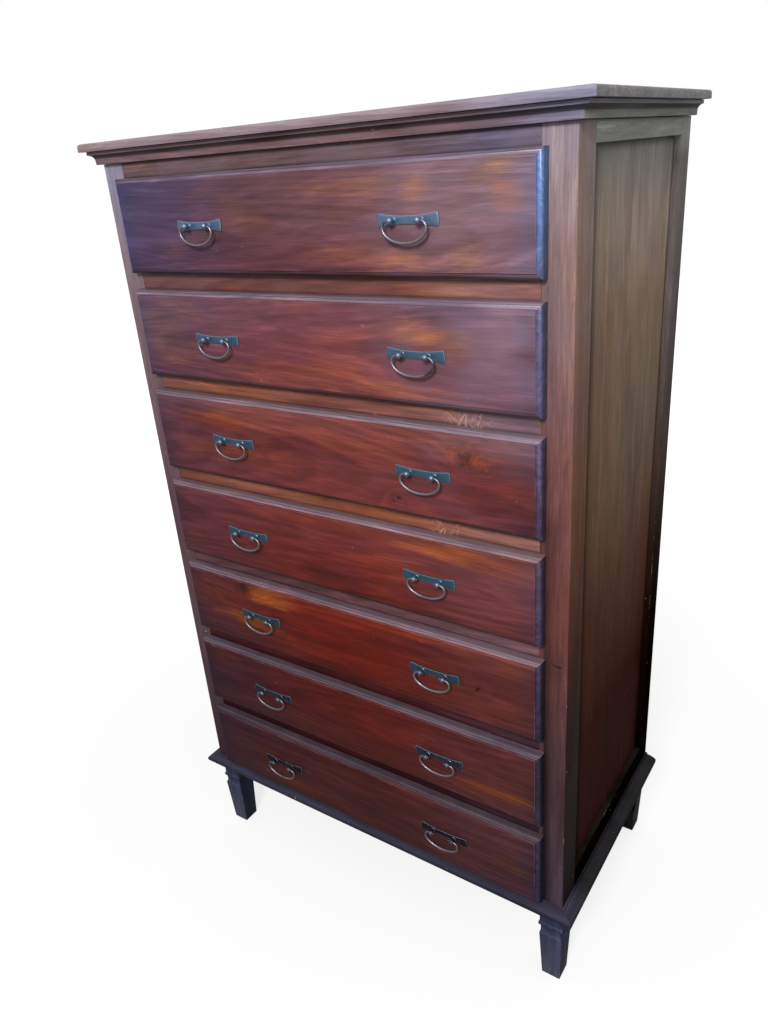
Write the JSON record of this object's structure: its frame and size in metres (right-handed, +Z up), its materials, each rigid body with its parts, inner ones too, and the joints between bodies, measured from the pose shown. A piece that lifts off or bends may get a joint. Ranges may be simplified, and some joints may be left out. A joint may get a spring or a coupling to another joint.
{
  "type": "semainier",
  "caption": "Tall narrow wooden chest of lipped drawers with iron bail handles, a moulded cornice and base, framed panel sides and short tapered feet.",
  "frame": {"origin": "on the floor, under the middle of the box round the whole chest", "axes": "+Z up, +X to the right of someone facing the drawers, +Y to the back"},
  "size_m": [0.785, 0.4368, 1.3],
  "materials": {
    "case_wood": "stained hardwood posts, rails, cornice and top, semi-gloss varnish, worn edges",
    "front_wood": "stained hardwood drawer fronts, level grain, semi-gloss varnish",
    "panel_wood": "stained side panels of upright boards, dull varnish",
    "base_wood": "very dark stained base moulding and feet, semi-gloss varnish",
    "raw_wood": "bare softwood drawer boxes and back",
    "iron": "dark blue-grey iron, worn bright on the balls and bails"
  },
  "bodies": {
    "case": {"top_board": "case_wood", "cornice": "case_wood", "base_board": "base_wood", "back_panel": "raw_wood", "front_post_left": "case_wood", "side_panel_left": "panel_wood", "foot_front_left": "base_wood", "foot_rear_left": "base_wood", "front_post_right": "case_wood", "side_panel_right": "panel_wood", "foot_front_right": "base_wood", "foot_rear_right": "base_wood", "drawer_rail_1": "case_wood", "drawer_rail_2": "case_wood", "drawer_rail_3": "case_wood", "drawer_rail_4": "case_wood", "drawer_rail_5": "case_wood", "drawer_rail_6": "case_wood"},
    "drawer_1": {"drawer_front_1": "front_wood", "drawer_box_1": "raw_wood", "handle_plate_1_left": "iron", "handle_plate_1_right": "iron"},
    "drawer_2": {"drawer_front_2": "front_wood", "drawer_box_2": "raw_wood", "handle_plate_2_left": "iron", "handle_plate_2_right": "iron"},
    "drawer_3": {"drawer_front_3": "front_wood", "drawer_box_3": "raw_wood", "handle_plate_3_left": "iron", "handle_plate_3_right": "iron"},
    "drawer_4": {"drawer_front_4": "front_wood", "drawer_box_4": "raw_wood", "handle_plate_4_left": "iron", "handle_plate_4_right": "iron"},
    "drawer_5": {"drawer_front_5": "front_wood", "drawer_box_5": "raw_wood", "handle_plate_5_left": "iron", "handle_plate_5_right": "iron"},
    "drawer_6": {"drawer_front_6": "front_wood", "drawer_box_6": "raw_wood", "handle_plate_6_left": "iron", "handle_plate_6_right": "iron"},
    "drawer_7": {"drawer_front_7": "front_wood", "drawer_box_7": "raw_wood", "handle_plate_7_left": "iron", "handle_plate_7_right": "iron"},
    "bail_1_left": {"bail_1_left": "iron"},
    "bail_1_right": {"bail_1_right": "iron"},
    "bail_2_left": {"bail_2_left": "iron"},
    "bail_2_right": {"bail_2_right": "iron"},
    "bail_3_left": {"bail_3_left": "iron"},
    "bail_3_right": {"bail_3_right": "iron"},
    "bail_4_left": {"bail_4_left": "iron"},
    "bail_4_right": {"bail_4_right": "iron"},
    "bail_5_left": {"bail_5_left": "iron"},
    "bail_5_right": {"bail_5_right": "iron"},
    "bail_6_left": {"bail_6_left": "iron"},
    "bail_6_right": {"bail_6_right": "iron"},
    "bail_7_left": {"bail_7_left": "iron"},
    "bail_7_right": {"bail_7_right": "iron"}
  },
  "joints": [
    {"name": "drawer_1_slide", "type": "slide", "parent": "case", "child": "drawer_1", "axis": [0, -1, 0], "range_m": [0, 0.3]},
    {"name": "drawer_2_slide", "type": "slide", "parent": "case", "child": "drawer_2", "axis": [0, -1, 0], "range_m": [0, 0.3]},
    {"name": "drawer_3_slide", "type": "slide", "parent": "case", "child": "drawer_3", "axis": [0, -1, 0], "range_m": [0, 0.3]},
    {"name": "drawer_4_slide", "type": "slide", "parent": "case", "child": "drawer_4", "axis": [0, -1, 0], "range_m": [0, 0.3]},
    {"name": "drawer_5_slide", "type": "slide", "parent": "case", "child": "drawer_5", "axis": [0, -1, 0], "range_m": [0, 0.3]},
    {"name": "drawer_6_slide", "type": "slide", "parent": "case", "child": "drawer_6", "axis": [0, -1, 0], "range_m": [0, 0.3]},
    {"name": "drawer_7_slide", "type": "slide", "parent": "case", "child": "drawer_7", "axis": [0, -1, 0], "range_m": [0, 0.3]},
    {"name": "bail_1_left_swing", "type": "hinge", "parent": "drawer_1", "child": "bail_1_left", "pos_m": [-0.17, -0.214, 1.1831], "axis": [-1, 0, 0], "range_deg": [-15, 195]},
    {"name": "bail_1_right_swing", "type": "hinge", "parent": "drawer_1", "child": "bail_1_right", "pos_m": [0.17, -0.214, 1.1831], "axis": [-1, 0, 0], "range_deg": [-15, 195]},
    {"name": "bail_2_left_swing", "type": "hinge", "parent": "drawer_2", "child": "bail_2_left", "pos_m": [-0.17, -0.214, 1.026], "axis": [-1, 0, 0], "range_deg": [-15, 195]},
    {"name": "bail_2_right_swing", "type": "hinge", "parent": "drawer_2", "child": "bail_2_right", "pos_m": [0.17, -0.214, 1.026], "axis": [-1, 0, 0], "range_deg": [-15, 195]},
    {"name": "bail_3_left_swing", "type": "hinge", "parent": "drawer_3", "child": "bail_3_left", "pos_m": [-0.17, -0.214, 0.8689], "axis": [-1, 0, 0], "range_deg": [-15, 195]},
    {"name": "bail_3_right_swing", "type": "hinge", "parent": "drawer_3", "child": "bail_3_right", "pos_m": [0.17, -0.214, 0.8689], "axis": [-1, 0, 0], "range_deg": [-15, 195]},
    {"name": "bail_4_left_swing", "type": "hinge", "parent": "drawer_4", "child": "bail_4_left", "pos_m": [-0.17, -0.214, 0.7118], "axis": [-1, 0, 0], "range_deg": [-15, 195]},
    {"name": "bail_4_right_swing", "type": "hinge", "parent": "drawer_4", "child": "bail_4_right", "pos_m": [0.17, -0.214, 0.7118], "axis": [-1, 0, 0], "range_deg": [-15, 195]},
    {"name": "bail_5_left_swing", "type": "hinge", "parent": "drawer_5", "child": "bail_5_left", "pos_m": [-0.17, -0.214, 0.5547], "axis": [-1, 0, 0], "range_deg": [-15, 195]},
    {"name": "bail_5_right_swing", "type": "hinge", "parent": "drawer_5", "child": "bail_5_right", "pos_m": [0.17, -0.214, 0.5547], "axis": [-1, 0, 0], "range_deg": [-15, 195]},
    {"name": "bail_6_left_swing", "type": "hinge", "parent": "drawer_6", "child": "bail_6_left", "pos_m": [-0.17, -0.214, 0.3976], "axis": [-1, 0, 0], "range_deg": [-15, 195]},
    {"name": "bail_6_right_swing", "type": "hinge", "parent": "drawer_6", "child": "bail_6_right", "pos_m": [0.17, -0.214, 0.3976], "axis": [-1, 0, 0], "range_deg": [-15, 195]},
    {"name": "bail_7_left_swing", "type": "hinge", "parent": "drawer_7", "child": "bail_7_left", "pos_m": [-0.17, -0.214, 0.2405], "axis": [-1, 0, 0], "range_deg": [-15, 195]},
    {"name": "bail_7_right_swing", "type": "hinge", "parent": "drawer_7", "child": "bail_7_right", "pos_m": [0.17, -0.214, 0.2405], "axis": [-1, 0, 0], "range_deg": [-15, 195]}
  ]
}
